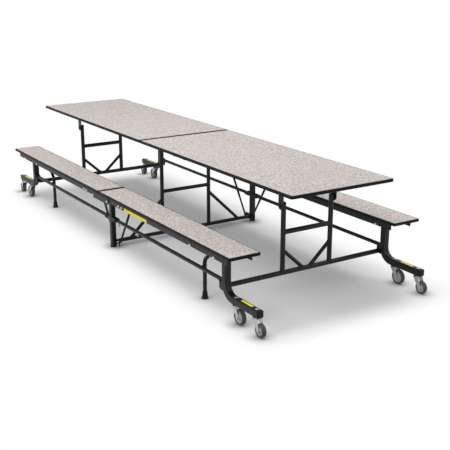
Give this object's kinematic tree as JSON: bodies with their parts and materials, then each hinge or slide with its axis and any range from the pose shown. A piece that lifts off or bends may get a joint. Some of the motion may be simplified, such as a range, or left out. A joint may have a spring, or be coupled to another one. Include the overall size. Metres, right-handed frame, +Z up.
{
  "type": "mobile folding cafeteria table with benches",
  "caption": "Long laminate cafeteria table with a bench along each side on a black steel frame; it folds upwards at the middle and rolls on swivel casters.",
  "frame": {"origin": "on the floor, under the middle of the table top", "axes": "+X along the table towards its near half, -Y towards the front bench, +Z up"},
  "size_m": [3.838, 1.44, 0.762],
  "materials": {
    "laminate": "light warm grey speckled high-pressure laminate, matte",
    "edge_band": "black moulded edge band, satin",
    "black_steel": "black powder coat, satin",
    "black_plastic": "moulded black plastic, matte",
    "zinc_steel": "bright zinc plated pressed steel",
    "grey_rubber": "grey non-marking rubber tread on a light hub"
  },
  "bodies": {
    "end_frame_far": {"end_frame_far": "black_steel", "caster_post_front_far": "black_steel", "caster_post_back_far": "black_steel"},
    "table_far": {"table_top_far": "laminate", "table_edge_far": "edge_band", "table_underframe_far": "black_steel"},
    "end_frame_near": {"end_frame_near": "black_steel", "caster_post_front_near": "black_steel", "caster_post_back_near": "black_steel"},
    "table_near": {"table_top_near": "laminate", "table_edge_near": "edge_band", "table_underframe_near": "black_steel"},
    "centre_frame": {"centre_frame": "black_steel", "centre_glide_front": "black_plastic", "centre_glide_back": "black_plastic"},
    "bench_front_near": {"bench_seat_front_near": "laminate", "bench_edge_front_near": "edge_band", "bench_rail_front_near": "black_steel"},
    "lower_rail_front_near": {"lower_rail_front_near": "black_steel"},
    "strut_sleeve_front_near": {"strut_sleeve_front_near": "black_steel"},
    "strut_rod_front_near": {"strut_rod_front_near": "black_steel"},
    "caster_front_near_inner": {"caster_fork_front_near_inner": "zinc_steel"},
    "wheel_front_near_inner": {"caster_wheel_front_near_inner": "grey_rubber"},
    "caster_front_near_outer": {"caster_fork_front_near_outer": "zinc_steel"},
    "wheel_front_near_outer": {"caster_wheel_front_near_outer": "grey_rubber"},
    "bench_front_far": {"bench_seat_front_far": "laminate", "bench_edge_front_far": "edge_band", "bench_rail_front_far": "black_steel"},
    "lower_rail_front_far": {"lower_rail_front_far": "black_steel"},
    "strut_sleeve_front_far": {"strut_sleeve_front_far": "black_steel"},
    "strut_rod_front_far": {"strut_rod_front_far": "black_steel"},
    "caster_front_far_inner": {"caster_fork_front_far_inner": "zinc_steel"},
    "wheel_front_far_inner": {"caster_wheel_front_far_inner": "grey_rubber"},
    "caster_front_far_outer": {"caster_fork_front_far_outer": "zinc_steel"},
    "wheel_front_far_outer": {"caster_wheel_front_far_outer": "grey_rubber"},
    "bench_back_near": {"bench_seat_back_near": "laminate", "bench_edge_back_near": "edge_band", "bench_rail_back_near": "black_steel"},
    "lower_rail_back_near": {"lower_rail_back_near": "black_steel"},
    "strut_sleeve_back_near": {"strut_sleeve_back_near": "black_steel"},
    "strut_rod_back_near": {"strut_rod_back_near": "black_steel"},
    "caster_back_near_inner": {"caster_fork_back_near_inner": "zinc_steel"},
    "wheel_back_near_inner": {"caster_wheel_back_near_inner": "grey_rubber"},
    "caster_back_near_outer": {"caster_fork_back_near_outer": "zinc_steel"},
    "wheel_back_near_outer": {"caster_wheel_back_near_outer": "grey_rubber"},
    "bench_back_far": {"bench_seat_back_far": "laminate", "bench_edge_back_far": "edge_band", "bench_rail_back_far": "black_steel"},
    "lower_rail_back_far": {"lower_rail_back_far": "black_steel"},
    "strut_sleeve_back_far": {"strut_sleeve_back_far": "black_steel"},
    "strut_rod_back_far": {"strut_rod_back_far": "black_steel"},
    "caster_back_far_inner": {"caster_fork_back_far_inner": "zinc_steel"},
    "wheel_back_far_inner": {"caster_wheel_back_far_inner": "grey_rubber"},
    "caster_back_far_outer": {"caster_fork_back_far_outer": "zinc_steel"},
    "wheel_back_far_outer": {"caster_wheel_back_far_outer": "grey_rubber"},
    "support_leg_near": {"support_leg_near": "black_steel", "support_foot_near": "black_plastic"},
    "support_leg_far": {"support_leg_far": "black_steel", "support_foot_far": "black_plastic"}
  },
  "joints": [
    {"name": "fold", "type": "hinge", "parent": "end_frame_far", "child": "table_far", "pos_m": [-1.489, 0, 0.6], "axis": [0, -1, 0], "range_deg": [0, 85]},
    {"name": "centre_far_pivot", "type": "hinge", "parent": "table_far", "child": "centre_frame", "pos_m": [-0.076, 0, 0.6], "axis": [0, 1, 0], "range_deg": [0, 85]},
    {"name": "centre_near_pivot", "type": "hinge", "parent": "centre_frame", "child": "table_near", "pos_m": [0.076, 0, 0.6], "axis": [0, 1, 0], "range_deg": [0, 85]},
    {"name": "end_near_pivot", "type": "hinge", "parent": "table_near", "child": "end_frame_near", "pos_m": [1.489, 0, 0.6], "axis": [0, -1, 0], "range_deg": [0, 85]},
    {"name": "bench_front_near_pivot", "type": "hinge", "parent": "end_frame_near", "child": "bench_front_near", "pos_m": [1.528, -0.612, 0.38], "axis": [0, 1, 0], "range_deg": [0, 85]},
    {"name": "lower_rail_front_near_pivot", "type": "hinge", "parent": "end_frame_near", "child": "lower_rail_front_near", "pos_m": [1.489, -0.612, 0.215], "axis": [0, 1, 0], "range_deg": [0, 85]},
    {"name": "strut_front_near_pivot", "type": "hinge", "parent": "bench_front_near", "child": "strut_sleeve_front_near", "pos_m": [0.24, -0.577, 0.345], "axis": [0, -1, 0], "range_deg": [0, 106.2]},
    {"name": "strut_front_near_slide", "type": "slide", "parent": "strut_sleeve_front_near", "child": "strut_rod_front_near", "axis": [0.5351, 0, 0.8448], "range_m": [0, 0.144]},
    {"name": "bench_front_far_pivot", "type": "hinge", "parent": "end_frame_far", "child": "bench_front_far", "pos_m": [-1.528, -0.612, 0.38], "axis": [0, -1, 0], "range_deg": [0, 85]},
    {"name": "lower_rail_front_far_pivot", "type": "hinge", "parent": "end_frame_far", "child": "lower_rail_front_far", "pos_m": [-1.489, -0.612, 0.215], "axis": [0, -1, 0], "range_deg": [0, 85]},
    {"name": "strut_front_far_pivot", "type": "hinge", "parent": "bench_front_far", "child": "strut_sleeve_front_far", "pos_m": [-0.24, -0.577, 0.345], "axis": [0, 1, 0], "range_deg": [0, 106.2]},
    {"name": "strut_front_far_slide", "type": "slide", "parent": "strut_sleeve_front_far", "child": "strut_rod_front_far", "axis": [-0.5351, 0, 0.8448], "range_m": [0, 0.144]},
    {"name": "bench_back_near_pivot", "type": "hinge", "parent": "end_frame_near", "child": "bench_back_near", "pos_m": [1.528, 0.612, 0.38], "axis": [0, 1, 0], "range_deg": [0, 85]},
    {"name": "lower_rail_back_near_pivot", "type": "hinge", "parent": "end_frame_near", "child": "lower_rail_back_near", "pos_m": [1.489, 0.612, 0.215], "axis": [0, 1, 0], "range_deg": [0, 85]},
    {"name": "strut_back_near_pivot", "type": "hinge", "parent": "bench_back_near", "child": "strut_sleeve_back_near", "pos_m": [0.24, 0.577, 0.345], "axis": [0, -1, 0], "range_deg": [0, 106.2]},
    {"name": "strut_back_near_slide", "type": "slide", "parent": "strut_sleeve_back_near", "child": "strut_rod_back_near", "axis": [0.5351, 0, 0.8448], "range_m": [0, 0.144]},
    {"name": "bench_back_far_pivot", "type": "hinge", "parent": "end_frame_far", "child": "bench_back_far", "pos_m": [-1.528, 0.612, 0.38], "axis": [0, -1, 0], "range_deg": [0, 85]},
    {"name": "lower_rail_back_far_pivot", "type": "hinge", "parent": "end_frame_far", "child": "lower_rail_back_far", "pos_m": [-1.489, 0.612, 0.215], "axis": [0, -1, 0], "range_deg": [0, 85]},
    {"name": "strut_back_far_pivot", "type": "hinge", "parent": "bench_back_far", "child": "strut_sleeve_back_far", "pos_m": [-0.24, 0.577, 0.345], "axis": [0, 1, 0], "range_deg": [0, 106.2]},
    {"name": "strut_back_far_slide", "type": "slide", "parent": "strut_sleeve_back_far", "child": "strut_rod_back_far", "axis": [-0.5351, 0, 0.8448], "range_m": [0, 0.144]},
    {"name": "support_leg_near_pivot", "type": "hinge", "parent": "bench_front_near", "child": "support_leg_near", "pos_m": [1.259, -0.572, 0.38], "axis": [0, -1, 0], "range_deg": [0, 85]},
    {"name": "support_leg_far_pivot", "type": "hinge", "parent": "bench_front_far", "child": "support_leg_far", "pos_m": [-1.259, -0.572, 0.38], "axis": [0, 1, 0], "range_deg": [0, 85]},
    {"name": "swivel_front_near_inner", "type": "hinge", "parent": "end_frame_near", "child": "caster_front_near_inner", "pos_m": [1.636, -0.612, 0.11], "axis": [0, 0, 1], "continuous": true},
    {"name": "roll_front_near_inner", "type": "hinge", "parent": "caster_front_near_inner", "child": "wheel_front_near_inner", "pos_m": [1.674, -0.612, 0.048], "axis": [0, 1, 0], "continuous": true},
    {"name": "swivel_front_near_outer", "type": "hinge", "parent": "end_frame_near", "child": "caster_front_near_outer", "pos_m": [1.842, -0.612, 0.11], "axis": [0, 0, 1], "continuous": true},
    {"name": "roll_front_near_outer", "type": "hinge", "parent": "caster_front_near_outer", "child": "wheel_front_near_outer", "pos_m": [1.88, -0.612, 0.04], "axis": [0, 1, 0], "continuous": true},
    {"name": "swivel_front_far_inner", "type": "hinge", "parent": "end_frame_far", "child": "caster_front_far_inner", "pos_m": [-1.636, -0.612, 0.11], "axis": [0, 0, 1], "continuous": true},
    {"name": "roll_front_far_inner", "type": "hinge", "parent": "caster_front_far_inner", "child": "wheel_front_far_inner", "pos_m": [-1.674, -0.612, 0.048], "axis": [0, 1, 0], "continuous": true},
    {"name": "swivel_front_far_outer", "type": "hinge", "parent": "end_frame_far", "child": "caster_front_far_outer", "pos_m": [-1.842, -0.612, 0.11], "axis": [0, 0, 1], "continuous": true},
    {"name": "roll_front_far_outer", "type": "hinge", "parent": "caster_front_far_outer", "child": "wheel_front_far_outer", "pos_m": [-1.88, -0.612, 0.04], "axis": [0, 1, 0], "continuous": true},
    {"name": "swivel_back_near_inner", "type": "hinge", "parent": "end_frame_near", "child": "caster_back_near_inner", "pos_m": [1.636, 0.612, 0.11], "axis": [0, 0, 1], "continuous": true},
    {"name": "roll_back_near_inner", "type": "hinge", "parent": "caster_back_near_inner", "child": "wheel_back_near_inner", "pos_m": [1.674, 0.612, 0.048], "axis": [0, 1, 0], "continuous": true},
    {"name": "swivel_back_near_outer", "type": "hinge", "parent": "end_frame_near", "child": "caster_back_near_outer", "pos_m": [1.842, 0.612, 0.11], "axis": [0, 0, 1], "continuous": true},
    {"name": "roll_back_near_outer", "type": "hinge", "parent": "caster_back_near_outer", "child": "wheel_back_near_outer", "pos_m": [1.88, 0.612, 0.04], "axis": [0, 1, 0], "continuous": true},
    {"name": "swivel_back_far_inner", "type": "hinge", "parent": "end_frame_far", "child": "caster_back_far_inner", "pos_m": [-1.636, 0.612, 0.11], "axis": [0, 0, 1], "continuous": true},
    {"name": "roll_back_far_inner", "type": "hinge", "parent": "caster_back_far_inner", "child": "wheel_back_far_inner", "pos_m": [-1.674, 0.612, 0.048], "axis": [0, 1, 0], "continuous": true},
    {"name": "swivel_back_far_outer", "type": "hinge", "parent": "end_frame_far", "child": "caster_back_far_outer", "pos_m": [-1.842, 0.612, 0.11], "axis": [0, 0, 1], "continuous": true},
    {"name": "roll_back_far_outer", "type": "hinge", "parent": "caster_back_far_outer", "child": "wheel_back_far_outer", "pos_m": [-1.88, 0.612, 0.04], "axis": [0, 1, 0], "continuous": true}
  ],
  "couplings": [
    {"joint": "centre_far_pivot", "follows": "fold", "ratio": 1},
    {"joint": "centre_near_pivot", "follows": "fold", "ratio": 1},
    {"joint": "end_near_pivot", "follows": "fold", "ratio": 1},
    {"joint": "bench_front_near_pivot", "follows": "fold", "ratio": 1},
    {"joint": "lower_rail_front_near_pivot", "follows": "fold", "ratio": 1},
    {"joint": "strut_front_near_pivot", "follows": "fold", "ratio": 1.2489},
    {"joint": "strut_front_near_slide", "follows": "fold", "m_per_rad": 0.096838},
    {"joint": "bench_front_far_pivot", "follows": "fold", "ratio": 1},
    {"joint": "lower_rail_front_far_pivot", "follows": "fold", "ratio": 1},
    {"joint": "strut_front_far_pivot", "follows": "fold", "ratio": 1.2489},
    {"joint": "strut_front_far_slide", "follows": "fold", "m_per_rad": 0.096838},
    {"joint": "bench_back_near_pivot", "follows": "fold", "ratio": 1},
    {"joint": "lower_rail_back_near_pivot", "follows": "fold", "ratio": 1},
    {"joint": "strut_back_near_pivot", "follows": "fold", "ratio": 1.2489},
    {"joint": "strut_back_near_slide", "follows": "fold", "m_per_rad": 0.096838},
    {"joint": "bench_back_far_pivot", "follows": "fold", "ratio": 1},
    {"joint": "lower_rail_back_far_pivot", "follows": "fold", "ratio": 1},
    {"joint": "strut_back_far_pivot", "follows": "fold", "ratio": 1.2489},
    {"joint": "strut_back_far_slide", "follows": "fold", "m_per_rad": 0.096838},
    {"joint": "support_leg_near_pivot", "follows": "fold", "ratio": 1},
    {"joint": "support_leg_far_pivot", "follows": "fold", "ratio": 1}
  ]
}
